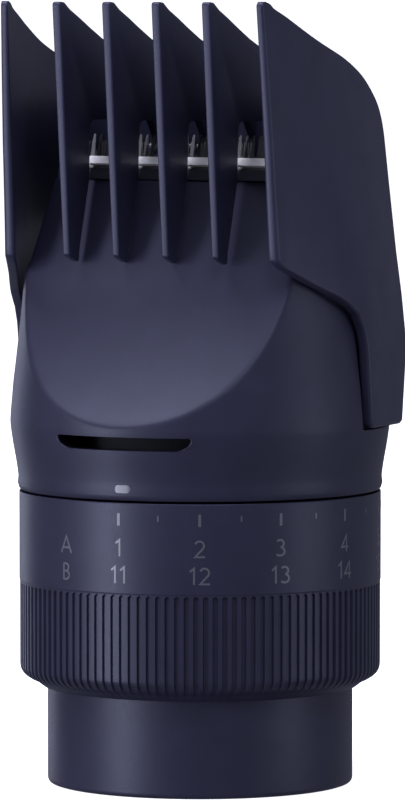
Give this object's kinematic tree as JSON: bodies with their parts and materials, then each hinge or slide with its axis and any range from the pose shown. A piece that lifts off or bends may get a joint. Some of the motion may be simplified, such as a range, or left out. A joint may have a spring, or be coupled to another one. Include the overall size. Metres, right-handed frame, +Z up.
{
  "type": "beard trimmer head",
  "caption": "Cylindrical beard trimmer head with a rotating length dial, scooped housing, steel blade and a tall ribbed guide comb that the dial raises.",
  "frame": {"origin": "centre of the collar's bottom rim, on the axis of the collar and dial", "axes": "+Z up along the dial's axis towards the comb's tips, -Y towards the scoop and the index mark, +X to the right seen from the front"},
  "size_m": [0.0484, 0.0472, 0.0972],
  "materials": {
    "navy_shell": "fine satin moulded navy plastic",
    "navy_dial": "fine satin navy plastic with printed grey marks and a ribbed grip band",
    "navy_comb": "smooth satin navy plastic",
    "inner_plastic": "black moulded plastic",
    "cam_plastic": "natural low-friction plastic",
    "seal_rubber": "soft black rubber",
    "spring_steel": "bright drawn wire and strip",
    "screw_steel": "plated steel",
    "blade_steel": "ground stainless steel",
    "shaft_steel": "ground stainless steel",
    "bearing_bronze": "sintered bronze"
  },
  "bodies": {
    "head": {"collar": "navy_shell", "collar_seal": "seal_rubber", "latch_ring": "spring_steel", "click_spring": "spring_steel", "click_ball": "spring_steel", "wear_washer": "cam_plastic", "chassis": "inner_plastic", "deck_screws": "screw_steel", "shaft_seal": "seal_rubber", "lower_bearing": "bearing_bronze", "housing": "navy_shell", "housing_screws": "screw_steel", "shaft_tower": "inner_plastic", "upper_bearing": "bearing_bronze", "blade_base": "inner_plastic", "fixed_blade": "blade_steel", "blade_screws": "screw_steel", "blade_spring": "spring_steel"},
    "dial": {"dial_ring": "navy_dial", "cam_sleeve": "cam_plastic"},
    "carrier": {"comb_carrier": "inner_plastic", "carrier_pins": "shaft_steel"},
    "comb": {"comb": "navy_comb"},
    "cutter": {"moving_blade": "blade_steel", "blade_yoke": "cam_plastic"},
    "drive": {"drive_shaft": "shaft_steel", "eccentric": "cam_plastic", "drive_coupling": "cam_plastic", "coupling_spring": "spring_steel", "retaining_clip": "spring_steel"}
  },
  "joints": [
    {"name": "dial_turn", "type": "hinge", "parent": "head", "child": "dial", "pos_m": [0, 0, 0.0257], "axis": [0, 0, -1], "range_deg": [0, 234]},
    {"name": "comb_raise", "type": "slide", "parent": "head", "child": "carrier", "axis": [0, 0, 1], "range_m": [0, 0.009]},
    {"name": "comb_lift_off", "type": "slide", "parent": "carrier", "child": "comb", "axis": [0, 0, 1], "range_m": [0, 0.045]},
    {"name": "blade_stroke", "type": "slide", "parent": "head", "child": "cutter", "axis": [1, 0, 0], "range_m": [-0.001, 0.001]},
    {"name": "drive_spin", "type": "hinge", "parent": "head", "child": "drive", "pos_m": [0, 0, 0.03], "axis": [0, 0, 1], "continuous": true}
  ],
  "couplings": [
    {"joint": "comb_raise", "follows": "dial_turn", "m_per_rad": 0.0022037}
  ]
}
